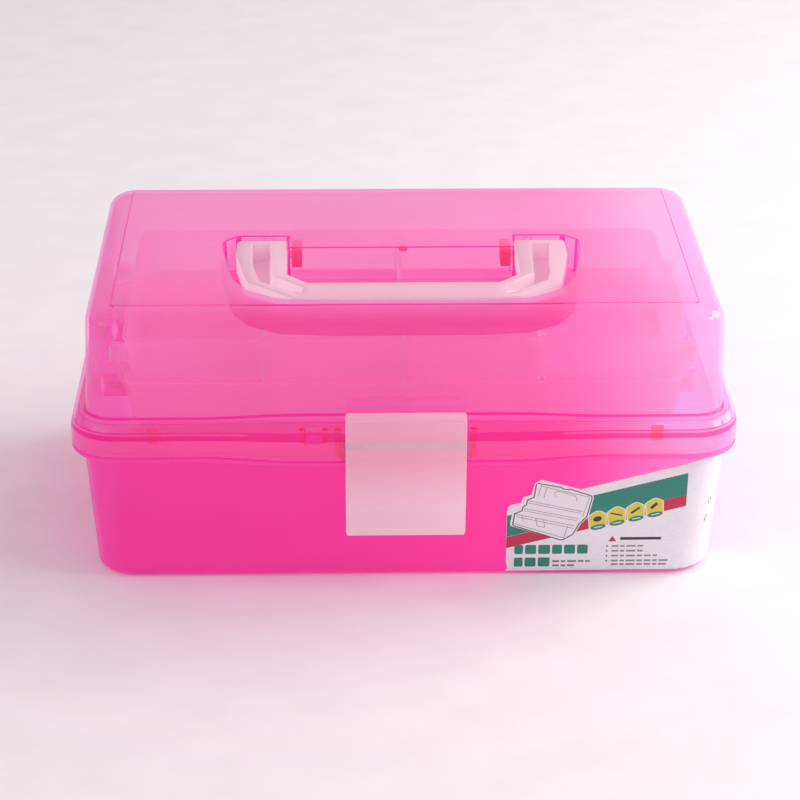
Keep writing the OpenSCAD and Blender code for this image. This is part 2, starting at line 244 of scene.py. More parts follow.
def shade(obj, smooth=35):
    mesh = obj.data
    mesh.polygons.foreach_set("use_smooth", [True] * len(mesh.polygons))
    mesh.set_sharp_from_angle(angle=math.radians(smooth))


def prism(bm, outline, levels, place, steps=4):
    """Closed prism of an outline. levels are (growth, height) pairs; place puts (u, v, height) in space."""
    loops = [[place(p[0], p[1], h) for p in fillet(grown(outline, g), True, steps)] for g, h in levels]
    first, last = chain(bm, loops)
    bm.faces.new(first)
    bm.faces.new(last[::-1])


def soft_levels(low, high, edge=0.4):
    """Levels of a prism whose edges are rounded."""
    return [(-edge, low), (-edge * 0.3, low + edge * 0.3), (0, low + edge),
            (0, high - edge), (-edge * 0.3, high - edge * 0.3), (-edge, high)]


def on_floor(u, v, h):
    return (u, v, h)


def on_side(u, v, h):
    """The outline is in the Y-Z plane, and the height runs along X."""
    return (h, u, v)


def on_front(u, v, h):
    """The outline is in the X-Z plane, and the height runs along Y."""
    return (u, h, v)


def block(bm, low, high, edge=0.3):
    x0, y0, z0 = low
    x1, y1, z1 = high
    r = 0.4
    outline = [(x0, y0, r), (x1, y0, r), (x1, y1, r), (x0, y1, r)]
    prism(bm, outline, soft_levels(z0, z1, edge), on_floor, 2)


def round_bar(bm, x0, x1, y, z, r, edge=0.3, sides=32):
    """Bar along X with rounded ends."""
    low, high = min(x0, x1), max(x0, x1)
    shrink = [(edge, low), (edge * 0.3, low + edge * 0.3), (0, low + edge),
              (0, high - edge), (edge * 0.3, high - edge * 0.3), (edge, high)]
    turn = [2 * math.pi * k / sides for k in range(sides)]
    loops = [[(x, y + (r - s) * math.cos(a), z + (r - s) * math.sin(a)) for a in turn] for s, x in shrink]
    first, last = chain(bm, loops)
    bm.faces.new(first)
    bm.faces.new(last[::-1])


def combine(obj, operation, build):
    """Joins what build draws to obj, or cuts it out."""
    bm = bmesh.new()
    build(bm)
    tool = mesh_object("tool", bm, None)
    modifier = obj.modifiers.new("combine", "BOOLEAN")
    modifier.operation = operation
    modifier.solver = "EXACT"
    modifier.use_self = operation == "UNION"
    modifier.object = tool
    graph = bpy.context.evaluated_depsgraph_get()
    result = bpy.data.meshes.new_from_object(obj.evaluated_get(graph))
    obj.modifiers.clear()
    old = obj.data
    obj.data = result
    bpy.data.meshes.remove(old)
    bpy.data.objects.remove(tool)
    shade(obj)


def soften(obj, width=0.35, segments=2):
    """Rounds the edges of a carried-over CAD node."""
    bevel = obj.modifiers.new("soft edges", "BEVEL")
    bevel.width = width * MM
    bevel.segments = segments
    bevel.limit_method = "ANGLE"
    bevel.angle_limit = math.radians(40)
    shade(obj, 40)


# ---------------------------------------------------------------- materials

def new_material(name):
    material = bpy.data.materials.new(name)
    material.use_nodes = True
    material.node_tree.nodes.clear()
    return material, material.node_tree


def node(tree, kind, inputs=None, **settings):
    made = tree.nodes.new(kind)
    for key, value in settings.items():
        setattr(made, key, value)
    for key, value in (inputs or {}).items():
        if isinstance(value, bpy.types.NodeSocket):
            tree.links.new(value, made.inputs[key])
        else:
            made.inputs[key].default_value = value
    return made


def rgba(colour, factor=1.0):
    """Linear colour from an sRGB one."""
    linear = [c / 12.92 if c <= 0.04045 else ((c + 0.055) / 1.055) ** 2.4 for c in colour]
    return (*[min(1, c * factor) for c in linear], 1)


def noise(tree, scale, detail=2.0, stretch=None):
    place = node(tree, "ShaderNodeTexCoord").outputs["Object"]
    if stretch:
        place = node(tree, "ShaderNodeMapping", {"Vector": place, "Scale": stretch}).outputs[0]
    pattern = node(tree, "ShaderNodeTexNoise", {"Vector": place, "Scale": scale, "Detail": detail})
    return pattern.outputs["Fac"]


def remap(tree, value, low, high, start=0.3, end=0.7):
    return node(tree, "ShaderNodeMapRange", {"Value": value, "From Min": start, "From Max": end,
                                             "To Min": low, "To Max": high}).outputs[0]


def blend_colours(tree, share, a, b):
    mix = node(tree, "ShaderNodeMix", data_type="RGBA")
    tree.links.new(share, mix.inputs[0])
    for socket, value in ((mix.inputs[6], a), (mix.inputs[7], b)):
        if isinstance(value, bpy.types.NodeSocket):
            tree.links.new(value, socket)
        else:
            socket.default_value = value
    return mix.outputs[2]


def moulded_surface(tree, colour, rough, peel=0.018, streaks=0.04):
    """Principled base of a moulding: clouded colour, uneven gloss, faint ripple, fine scratches."""
    cloud = noise(tree, 14, 3)
    shade_low, shade_high = rgba(colour, 1 - streaks), rgba(colour, 1 + streaks)
    tint = blend_colours(tree, remap(tree, cloud, 0, 1), shade_low, shade_high)
    ripple = noise(tree, 90, 2)
    scratches = noise(tree, 260, 4, (0.12, 1, 1))
    gloss = node(tree, "ShaderNodeMath", {0: remap(tree, ripple, rough * 0.85, rough * 1.15),
                                          1: remap(tree, scratches, -0.03, 0.05)}, operation="ADD").outputs[0]
    height = node(tree, "ShaderNodeMath", {0: ripple, 1: remap(tree, scratches, 0, 0.12)},
                  operation="ADD").outputs[0]
    bump = node(tree, "ShaderNodeBump", {"Strength": peel * 2.5, "Distance": 0.0004, "Height": height})
    return node(tree, "ShaderNodeBsdfPrincipled", {"Base Color": tint, "Roughness": gloss, "IOR": 1.48,
                                                   "Normal": bump.outputs[0]})


def see_through_plastic(name, colour, tint, deep, see, painted_glow=0.2, through=0.45, rough=0.2, streaks=0.04,
                        foot_see=None, painted_end_light=0):
    """Tinted plastic, which scatters some light and lets the rest through, deeper tinted at grazing angles.

    Only the surface facing the ray counts, so each wall tints what lies behind it once. The glow is painted
    light: an emission in the deep colour that brightens the wall, standing in for light lost between bounces.
    foot_see is what passes at the piece's lower end, if that differs. The carried light is painted light too:
    a pale emission that rises towards the piece's right-hand end, which faces the light, standing in for the
    light that the wall would bring along inside itself.
    """
    material, tree = new_material(name)
    grazing = node(tree, "ShaderNodeLayerWeight", {"Blend": 0.3}).outputs["Facing"]
    surface = moulded_surface(tree, colour, rough, streaks=streaks)
    # Painted glow: an emission in the deep colour that brightens the plastic.
    surface.inputs["Emission Color"].default_value = rgba(deep)
    surface.inputs["Emission Strength"].default_value = painted_glow
    lit = node(tree, "ShaderNodeBsdfTranslucent", {"Color": rgba(colour)})
    body = node(tree, "ShaderNodeMixShader", {0: through, 1: surface.outputs[0], 2: lit.outputs[0]})
    share = remap(tree, grazing, see, see * 0.5, 0, 1)
    if foot_see is not None:
        place = node(tree, "ShaderNodeTexCoord").outputs["Generated"]
        height = node(tree, "ShaderNodeSeparateXYZ", {0: place}).outputs[2]
        fade = remap(tree, height, foot_see / see, 1, 0.25, 0.65)
        share = node(tree, "ShaderNodeMath", {0: share, 1: fade}, operation="MULTIPLY").outputs[0]
    veil = blend_colours(tree, grazing, rgba(tint), rgba(deep))
    clear = node(tree, "ShaderNodeBsdfTransparent", {"Color": veil})
    gloss = node(tree, "ShaderNodeBsdfGlossy", {"Roughness": rough * 0.7})
    mirror = node(tree, "ShaderNodeFresnel", {"IOR": 1.48}).outputs[0]
    window = node(tree, "ShaderNodeMixShader", {0: mirror, 1: clear.outputs[0], 2: gloss.outputs[0]})
    front = node(tree, "ShaderNodeMixShader", {0: share, 1: body.outputs[0], 2: window.outputs[0]})
    # Painted light: a pale emission that rises towards the right-hand end, which faces the light.
    if painted_end_light:
        place = node(tree, "ShaderNodeTexCoord").outputs["Generated"]
        across = node(tree, "ShaderNodeSeparateXYZ", {0: place}).outputs[0]
        power = node(tree, "ShaderNodeMapRange", {"Value": across, "From Min": 0.72, "To Max": painted_end_light},
                     interpolation_type="SMOOTHSTEP").outputs[0]
        painted_end_glow = node(tree, "ShaderNodeEmission", {"Color": (1, 0.97, 0.85, 1), "Strength": power})
        front = node(tree, "ShaderNodeAddShader", {0: front.outputs[0], 1: painted_end_glow.outputs[0]})
    behind = node(tree, "ShaderNodeNewGeometry").outputs["Backfacing"]
    passing = node(tree, "ShaderNodeBsdfTransparent", {"Color": (1, 1, 1, 1)})
    wall = node(tree, "ShaderNodeMixShader", {0: behind, 1: front.outputs[0], 2: passing.outputs[0]})
    node(tree, "ShaderNodeOutputMaterial", {"Surface": wall.outputs[0]})
    return material


def steel_material():
    material, tree = new_material("zinc_steel")
    drawn = noise(tree, 400, 3, (0.05, 1, 1))
    spots = noise(tree, 150, 2)
    colour = blend_colours(tree, remap(tree, spots, 0, 1), rgba((0.72, 0.72, 0.74)), rgba((0.86, 0.86, 0.88)))
    bump = node(tree, "ShaderNodeBump", {"Strength": 0.15, "Distance": 0.0001, "Height": drawn})
    surface = node(tree, "ShaderNodeBsdfPrincipled", {"Base Color": colour, "Metallic": 1.0,
                                                      "Roughness": remap(tree, drawn, 0.22, 0.4),
                                                      "Normal": bump.outputs[0]})
    node(tree, "ShaderNodeOutputMaterial", {"Surface": surface.outputs[0]})
    return material


def printed_film(name, colour, mottle=0.05, rough=0.38):
    """Coated label paper or its ink, with fine print grain and a slight crease."""
    material, tree = new_material(name)
    grain = noise(tree, 1500, 1)
    crease = noise(tree, 45, 3)
    tone = blend_colours(tree, remap(tree, grain, 0, 1), rgba(colour, 1 - mottle), rgba(colour, 1 + mottle))
    height = node(tree, "ShaderNodeMath", {0: crease, 1: remap(tree, grain, 0, 0.05)}, operation="ADD")
    bump = node(tree, "ShaderNodeBump", {"Strength": 0.25, "Distance": 0.0003, "Height": height.outputs[0]})
    gloss = remap(tree, crease, rough - 0.06, rough + 0.1)
    surface = node(tree, "ShaderNodeBsdfPrincipled", {"Base Color": tone, "Roughness": gloss,
                                                      "Normal": bump.outputs[0]})
    node(tree, "ShaderNodeOutputMaterial", {"Surface": surface.outputs[0]})
    return material


# Every plastic below has a painted glow, an emission that brightens it. The base and lid plastics also
# brighten towards their right-hand end, which is painted light as well.
BASE_PLASTIC = see_through_plastic(
    "base_pink", (0.98, 0.42, 0.80), tint=(1.0, 0.67, 0.9), deep=(0.97, 0.28, 0.76), see=0.6, painted_glow=0.28,
    rough=0.14, painted_end_light=0.14)
# Painted edge shade: a deeper, less clear copy of the base plastic for the faces that round its edges.
BASE_EDGE_SHADE = see_through_plastic(
    "base_pink_painted_edge_shade", (0.99, 0.46, 0.82), tint=(1.0, 0.52, 0.84), deep=(0.94, 0.1, 0.66), see=0.45, painted_glow=0.22,
    rough=0.14, painted_end_light=0.08)
LID_PLASTIC = see_through_plastic(
    "lid_pink", (0.99, 0.64, 0.87), tint=(1.0, 0.88, 0.95), deep=(0.98, 0.5, 0.83), see=0.8, painted_glow=0.24,
    rough=0.13, painted_end_light=0.17)
# Painted edge shade: a deeper, less clear copy of the lid plastic for its rounded edges, the rim's step and
# the recess's outer wall.
LID_EDGE_SHADE = see_through_plastic(
    "lid_pink_painted_edge_shade", (0.98, 0.34, 0.76), tint=(0.98, 0.4, 0.8), deep=(0.93, 0.06, 0.62), see=0.6, painted_glow=0.22,
    rough=0.13, painted_end_light=0.08)
LID_RIB = see_through_plastic(
    "lid_pink_rib", (0.93, 0.02, 0.48), tint=(0.95, 0.05, 0.5), deep=(0.93, 0.0, 0.5), see=0.15, painted_glow=0.35)
TRAY_PLASTIC = see_through_plastic(
    "tray_pink", (0.99, 0.82, 0.93), tint=(1.0, 0.92, 0.97), deep=(1.0, 0.62, 0.84), see=0.55, painted_glow=0.16)
MILKY_PLASTIC = see_through_plastic(
    "milky_plastic", (0.925, 0.895, 0.905), tint=(1.0, 0.97, 0.98), deep=(0.93, 0.85, 0.87), see=0.12,
    painted_glow=0.1, streaks=0.015)
LATCH_PLASTIC = see_through_plastic(
    "latch_milky", (0.965, 0.945, 0.955), tint=(1.0, 0.93, 0.96), deep=(0.95, 0.88, 0.91), see=0.42,
    painted_glow=0.08, through=0.3, streaks=0.015, foot_see=0.04)
ARM_PLASTIC = see_through_plastic(
    "arm_pink", (1.0, 0.78, 0.91), tint=(1.0, 0.9, 0.96), deep=(1.0, 0.66, 0.86), see=0.6, rough=0.3)
STEEL = steel_material()
PAPER = printed_film("label_paper", (0.95, 0.93, 0.95))
INKS = {
    "green": printed_film("ink_green", (0.17, 0.53, 0.46)),
    "red": printed_film("ink_red", (0.79, 0.17, 0.33)),
    "yellow": printed_film("ink_yellow", (0.87, 0.82, 0.30)),
    "dark": printed_film("ink_dark", (0.20, 0.20, 0.24)),
    "grey": printed_film("ink_grey", (0.55, 0.52, 0.55)),
    "white": printed_film("ink_white", (0.95, 0.93, 0.94)),
}


# ---------------------------------------------------------------- base

def rim_loop(inset, z, r, dip=0.0):
    """One level of base or lid, inset from the rim on all sides, whose front drops by dip in the middle."""
    loop = rounded_loop(RIM_X - inset, RIM_Y - inset, r)
    return [(x, y, z - (dip * swell(x) if y < 0 else 0)) for x, y in loop]


def base_inset(z):
    return FOOT_INSET - DRAFT * z


def base_box():
    profile = [
        # inset, height, fillet, corner radius, dip
        (26, 0.9, 0, 8, 0), (19, 0.9, 0.6, 12, 0), (17.6, 0, 0.8, 13, 0),
        (base_inset(0), 0, FOOT_ROUND, FOOT_R, 0), (base_inset(35), 35, 0, FOOT_R, 0),
        (base_inset(66), FLANGE_Z, 0.8, FOOT_R, DIP), (0, FLANGE_Z, 0.7, RIM_R, DIP),
        (0, FLANGE_Z + 2, 0.6, RIM_R, DIP), (base_inset(71) - 0.1, FLANGE_Z + 2, 0.4, FOOT_R, DIP),
        (base_inset(UPSTAND_Z), UPSTAND_Z, 0.7, FOOT_R, 0),
        (base_inset(UPSTAND_Z) + WALL, UPSTAND_Z, 0.7, FOOT_R - WALL, 0),
        (base_inset(35) + WALL, 35, 0, FOOT_R - WALL, 0),
        (base_inset(2) + WALL, WALL, 3, FOOT_R - WALL, 0), (26, WALL, 0, 8, 0)]
    bm = bmesh.new()
    first, last = chain(bm, [rim_loop(i, z, r, dip) for i, z, r, dip in fillet(profile, steps=4)])
    bm.faces.new(first)
    bm.faces.new(last[::-1])
    obj = mesh_object("base_box_shell", bm, BASE_PLASTIC)
    # Painted edge shade on the faces that round the base's edges.
    paint_edge_shade(obj, BASE_EDGE_SHADE)
    combine(obj, "UNION", base_fittings)
    combine(obj, "DIFFERENCE", base_bores)
    return obj


def base_fittings(bm):
    """Hinge knuckles, latch lugs and arm bosses."""
    knuckle = 9
    for side in (-1, 1):
        for step in (-1, 1):
            x = side * HINGE_X + step * (knuckle + 0.4)
            outline = [(RIM_Y - 4, FLANGE_Z + 0.2, 0.4), (HINGE.y + 3.5, FLANGE_Z + 0.2, 1.5),
                       (HINGE.y + 3.5, HINGE.z + 3.5, 3.4), (HINGE.y - 3.5, HINGE.z + 3.5, 3.4),
                       (HINGE.y - 3.5, FLANGE_Z + 1.8, 0.8), (RIM_Y - 4, FLANGE_Z + 1.8, 0.3)]
            prism(bm, outline, soft_levels(x - knuckle / 2, x + knuckle / 2), on_side)
        x = side * 22.3
        foot = FLANGE_Z - DIP + 0.2
        lug = [(LATCH_PIN.y - 1.6, foot, 0.3), (LATCH_PIN.y + 4, foot, 0.3),
               (LATCH_PIN.y + 4, LATCH_PIN.z + 3.2, 0.5), (LATCH_PIN.y - 3.2, LATCH_PIN.z + 3.2, 3.1),
               (LATCH_PIN.y - 3.2, LATCH_PIN.z - 2.8, 2.6), (LATCH_PIN.y - 1.6, LATCH_PIN.z - 4.4, 1)]
        prism(bm, lug, soft_levels(x - 2.65, x + 2.65), on_side)
        reach = RIM_X - base_inset(PIVOT_Z) - WALL + 0.5
        for pin_y in pivots_along("base_pivot_pins"):
            round_bar(bm, side * (ARM_OUT + 0.4), side * reach, pin_y, PIVOT_Z, 6)


def pivots_along(pins):
    """Y of the front and the rear pivot, from the box round a node of pins."""
    low, high = box_mm(pins)
    head = 3.6
    return (low.y + head, high.y - head)


def base_bores(bm):
    for side in (-1, 1):
        hinge_x = side * HINGE_X
        round_bar(bm, hinge_x - 13.6, hinge_x + 13.6, HINGE.y, HINGE.z, STEEL_BORE, 0.1)
        for pin_y in pivots_along("base_pivot_pins"):
            round_bar(bm, side * ARM_OUT, side * (ARM_OUT + 10), pin_y, PIVOT_Z, PLASTIC_BORE, 0.1)
    round_bar(bm, -29, 29, LATCH_PIN.y, LATCH_PIN.z, STEEL_BORE, 0.1)


# ---------------------------------------------------------------- lid

def recess_outline():
    """Handle recess in the lid: a D whose two ends reach further back than its middle."""
    half = [(BOSS_OUT, RECESS_BACK, 0.8), (BOSS_OUT, 12, 1.2), (84, 12, 4), (91, 5, 4), (91, -6, 12),
            (84.5, -46, 12), (77, -60, 10), (62, -70, 10), (36, -72.6, 20)]
    return anticlockwise(mirrored(half))


def lid_inset(z):
    return LID_INSET + LID_DRAFT * (z - LID_FOOT_Z)


def shoulder(depth):
    """Levels of the quarter ellipse between wall and panel, which runs depth inside the outer face."""
    out = []
    wide = PANEL_INSET - lid_inset(SHOULDER_Z) - depth
    high = TOP - 0.5 - SHOULDER_Z - depth
    for k in range(9):
        t = math.radians(90 * k / 8)
        inset = PANEL_INSET - wide * math.cos(t)
        r = max(1.0, LID_R - (inset - lid_inset(SHOULDER_Z)))
        out.append((inset, SHOULDER_Z + high * math.sin(t), r, 0))
    return out


def lid_profile():
    """From the panel's edge out and down to the skirt's lower edge, and back up inside."""
    skirt = [
        # inset, height, fillet, corner radius, dip
        (lid_inset(100), 100, 0, LID_R, 0), (lid_inset(90), 89.2, 1.2, LID_R, -1.6),
        (3.9, 88.2, 0.5, RIM_R - 3.9, -0.3), (3, 87.3, 0.3, RIM_R - 3, 0.3), (1, 84.6, 1.4, RIM_R - 1, 0.8),
        (0.75, 83.2, 0.4, RIM_R - 0.8, 1), (0, RIM_STEP_Z, 0.5, RIM_R, 1), (0, SKIRT_Z, 0.6, RIM_R, DIP),
        (1.8, SKIRT_Z, 0.5, RIM_R - 1.8, DIP), (2, 82, 1, RIM_R - 2, 1), (4, 84.2, 0.8, RIM_R - 4, 0),
        (lid_inset(86) + WALL, 84.2, 0.6, LID_R - WALL, 0), (lid_inset(100) + WALL, 100, 0, LID_R - WALL, 0)]
    outside = [(PANEL_INSET + 0.7, TOP, 1, 0), (PANEL_INSET + 0.25, TOP - 0.1, 1.4, 0)]
    inside = shoulder(WALL)
    return outside + shoulder(0)[::-1] + fillet(skirt, steps=4) + inside


def lid():
    bm = bmesh.new()
    top, under = chain(bm, [rim_loop(*level[:3], level[3]) for level in lid_profile()])
    outline = recess_outline()
    levels = [(0.5, TOP), (0.12, TOP - 0.15), (0, TOP - 0.6), (-0.35, RECESS_FLOOR + 1.6),
              (-0.8, RECESS_FLOOR + 0.5), (-2, RECESS_FLOOR)]
    rim, floor = chain(bm, [[(x, y, z) for x, y in fillet(grown(outline, g), True, 5)] for g, z in levels])
    fill_between(bm, [top, rim])
    bm.faces.new(floor)
    under_z = lid_profile()[-1][1]
    levels = [(RECESS_WALL, under_z), (RECESS_WALL - 0.3, RECESS_FLOOR), (0.4, RECESS_FLOOR - RECESS_WALL)]
    rim, floor = chain(bm, [[(x, y, z) for x, y in fillet(grown(outline, g), True, 5)] for g, z in levels])
    fill_between(bm, [under, rim])
    bm.faces.new(floor[::-1])
    obj = mesh_object("lid_shell", bm, LID_PLASTIC)
    # Painted edge shade on the lid's rounded edges, the rim's step and the recess's outer wall.
    paint_edge_shade(obj, LID_EDGE_SHADE, in_shaded_recess_wall_or_step)
    combine(obj, "UNION", lid_fittings)
    combine(obj, "DIFFERENCE", lid_openings)
    return obj


def in_shaded_recess_wall_or_step(face):
    """The outside of the recess's wall, and the step in the rim, get the painted edge shade as well."""
    at, facing = face.center / MM, face.normal
    recess = at.z > RECESS_FLOOR - 1 and abs(at.x) < 93.5 and -76 < at.y < 14 and abs(facing.z) < 0.5
    away = facing.x * at.x + facing.y * (at.y + 30) > 0
    return (recess and away) or RIM_STEP_Z < at.z < RIM_STEP_Z + 2.5


def lid_ribs():
    """Lugs and ribs behind the front rim, the bosses of the handle's pins, and the mould's gate."""
    bm = bmesh.new()
    gate = [(1 + x, 1 + y, 0) for x, y in ellipse(0, 0, 2.3, 2.3)]
    prism(bm, gate, soft_levels(TOP - 3.6, TOP - 2.3, 0.25), on_floor)
    behind = -RIM_Y + 2.06
    lugs = [(-123, 3, 78.4), (123, 3, 78.4)]
    beside_window = [(WINDOW[0] - 1.3, 1.5, 78), (WINDOW[1] + 1.4, 1.5, 78)]
    beside_notch = [(-33.2, 1.6, 70), (33.2, 1.6, 70)]
    for x, half, low in lugs + beside_window + beside_notch:
        block(bm, (x - half, behind, low), (x + half, behind + 2.2, 86))
    under = TOP - 2.25
    for side in (-1, 1):
        ends = sorted((side * BOSS_IN, side * (BOSS_OUT - RECESS_WALL - 0.05)))
        block(bm, (ends[0], RECESS_BACK + RECESS_WALL + 0.05, HANDLE_LOW.z), (ends[1], 12.5, under), 0.6)
    obj = mesh_object("lid_ribs", bm, LID_RIB)
    combine(obj, "DIFFERENCE", pin_bores_of_handle)
    return obj


def pin_bores_of_handle(bm):
    y, z = HANDLE_PIVOT.y, HANDLE_PIVOT.z
    for side in (-1, 1):
        round_bar(bm, side * (BOSS_IN - 1), side * (BOSS_OUT + 0.4), y, z, PLASTIC_BORE, 0.1)


def lid_fittings(bm):
    """Catch pad, hinge knuckles and link bosses."""
    wall_y = -(RIM_Y - lid_inset(LID_FOOT_Z))
    block(bm, (-CATCH_HALF, wall_y - 1.6, 87.6), (CATCH_HALF, wall_y + 1.2, 99.6), 0.8)
    wall_x = RIM_X - lid_inset(LINK_PIVOT.z)
    for side in (-1, 1):
        hinge_x = side * HINGE_X
        outline = [(RIM_Y - 1.2, HINGE.z - 3.4, 0.4), (HINGE.y + 3.5, HINGE.z - 3.4, 3.4),
                   (HINGE.y + 3.5, HINGE.z + 3.5, 3.4), (RIM_Y - 1.2, HINGE.z + 3.5, 0.4)]
        prism(bm, outline, soft_levels(hinge_x - 4.3, hinge_x + 4.3), on_side)
        round_bar(bm, side * (LINK_OUT + 0.3), side * (wall_x - 1.6), LINK_PIVOT.y, LINK_PIVOT.z, 5)


def lid_openings(bm):
    """Latch notch, the small window beside it, and the pin bores."""
    notch = LATCH_HIGH.x + 2
    block(bm, (-notch, -RIM_Y - 3, 60), (notch, -RIM_Y + 2.1, 101))
    block(bm, (-notch, -RIM_Y - 3, 60), (notch, -RIM_Y + 7.2, 81.8))
    block(bm, (WINDOW[0], -RIM_Y - 3, 78), (WINDOW[1], -RIM_Y + 3.5, 86), 0.2)
    pin_bores_of_handle(bm)
    y, z = LINK_PIVOT.y, LINK_PIVOT.z
    for side in (-1, 1):
        hinge_x = side * HINGE_X
        round_bar(bm, hinge_x - 10, hinge_x + 10, HINGE.y, HINGE.z, STEEL_BORE + 0.03, 0.1)
        round_bar(bm, side * (LINK_OUT - 1), side * (LINK_OUT + 4.5), y, z, PLASTIC_BORE, 0.1)


# ---------------------------------------------------------------- handle

def handle():
    """Folding handle: a flat bar between two arms that are hollow from above."""
    low, high = HANDLE_LOW.z, HANDLE_HIGH.z
    end = HANDLE_HIGH.y
    out, into = HANDLE_HIGH.x, 58.4
    arm = [(into, end, 0.8), (out, end, 3), (out, -11, 10), (78.5, -46, 6), (56, -66.6, 6),
           (46.5, HANDLE_LOW.y, 6)]
    grip = [(-into, -36.5, 4), (-48, -48, 4), (48, -48, 4), (into, -36.5, 4)]
    outline = anticlockwise(mirrored(arm) + grip)
    bm = bmesh.new()
    levels = [(-1.2, low), (-0.4, low + 0.35), (0, low + 1.2),
              (0, high - 1.0), (-0.3, high - 0.3), (-0.9, high)]
    bottom, top = chain(bm, [[(x, y, z) for x, y in fillet(grown(outline, g), True, 5)] for g, z in levels])
    bm.faces.new(bottom)
    holes = [top]
    for side in (-1, 1):
        pocket = [(into + 8.6, 2.6, 1), (out - 7.6, 2.6, 1), (out - 8.2, -22, 8), (71.6, -46, 3),
                  (50.5, -64, 1), (50, -54.4, 1), (65.4, -37.4, 2)]
        pocket = anticlockwise([(side * x, y, r) for x, y, r in pocket])
        depths = [(0.3, 0), (0, 0.05), (-0.5, 0.85), (-1.0, 1.0)]
        loops = []
        for g, share in depths:
            loop = fillet(grown(pocket, g), True, 5)
            loops.append([(x, y, high - share * pocket_depth(x)) for x, y in loop])
        rim, floor = chain(bm, loops)
        holes.append(rim)
        bm.faces.new(floor)
    fill_between(bm, holes)
    obj = mesh_object("handle_moulding", bm, MILKY_PLASTIC)
    combine(obj, "DIFFERENCE", handle_cuts)
    return obj


def pocket_depth(x):
    """The hollow of an arm runs out towards the grip."""
    t = min(1, max(0, (abs(x) - 50) / 17))
    return 3.0 + 5.4 * t * t * (3 - 2 * t)


def handle_cuts(bm):
    """Rounds the arms' ends round the pivot, and bores them."""
    y, z = HANDLE_PIVOT.y, HANDLE_PIVOT.z
    r = HANDLE_HIGH.y - y
    end = fillet([(y - 3, z - r, 0), (y + r, z - r, 4.2), (y + r, z + r, 1.6), (y - 1, z + r, 0)], steps=8)
    outline = anticlockwise(end + [(y - 1, z + r + 6), (y + r + 6, z + r + 6), (y + r + 6, z - r - 6),
                                   (y - 3, z - r - 6)])
    for side in (-1, 1):
        ring = [add_ring(bm, [(x, u, v) for u, v in outline]) for x in (side * 50, side * 92)]
        bridge(bm, *ring)
        bm.faces.new(ring[0])
        bm.faces.new(ring[1][::-1])
        round_bar(bm, side * 56, side * 66.4, y, z, PLASTIC_BORE + 0.03, 0.1)


# ---------------------------------------------------------------- latch

def latch():
    """Cover plate with a hook along its top, shallow side walls and a bored pivot."""
    face, top, foot = LATCH_LOW.y, LATCH_HIGH.z, LATCH_LOW.z
    half, t = LATCH_HIGH.x, 2.2
    hook = -RIM_Y + 2
    plate = [(face + 1.0, foot, 0.8), (face + t + 1.2, foot, 0.8), (face + t, foot + 20, 20),
             (face + t, top - 4.5, 2.5), (face + 4, top - t, 1.5), (hook, top - t, 0.5), (hook, top, 0.9),
             (face + 3.6, top, 5), (face, top - 4.6, 6), (face, foot + 22, 20)]
    bm = bmesh.new()
    prism(bm, anticlockwise(plate), soft_levels(-half, half, 0.7), on_side, 6)
    obj = mesh_object("latch_moulding", bm, LATCH_PLASTIC)

    def side_walls(tool):
        wall = [(face + 1.2, foot + 0.4, 0.8), (face + 4.8, foot + 1.4, 1), (face + 3.8, 54, 8),
                (face + 2.7, 63, 3), (face + 2.7, 71.5, 2), (LATCH_PIN.y - 0.4, LATCH_PIN.z - 3.6, 1),
                (LATCH_PIN.y + 3.3, LATCH_PIN.z - 2.6, 2), (LATCH_PIN.y + 3.3, LATCH_PIN.z + 3, 2.5),
                (LATCH_PIN.y - 0.2, top - 3.4, 1), (face + 1.2, top - 1.4, 2)]
        for side in (-1, 1):
            x = side * (half - t / 2 - 0.15)
            prism(tool, anticlockwise(wall), soft_levels(x - t / 2, x + t / 2, 0.3), on_side)

    def outline(tool):
        shape = [(-half, foot - 1, 4), (half, foot - 1, 4), (half, top + 0.2, 2.2), (-half, top + 0.2, 2.2)]
        prism(tool, shape, [(0, face - 4), (0, hook + 12)], on_front, 6)

    def pin_bore(tool):
        round_bar(tool, -40, 40, LATCH_PIN.y, LATCH_PIN.z, STEEL_BORE + 0.03, 0.1)

    combine(obj, "UNION", side_walls)
    combine(obj, "INTERSECT", outline)
    combine(obj, "DIFFERENCE", pin_bore)
    return obj


# ---------------------------------------------------------------- trays

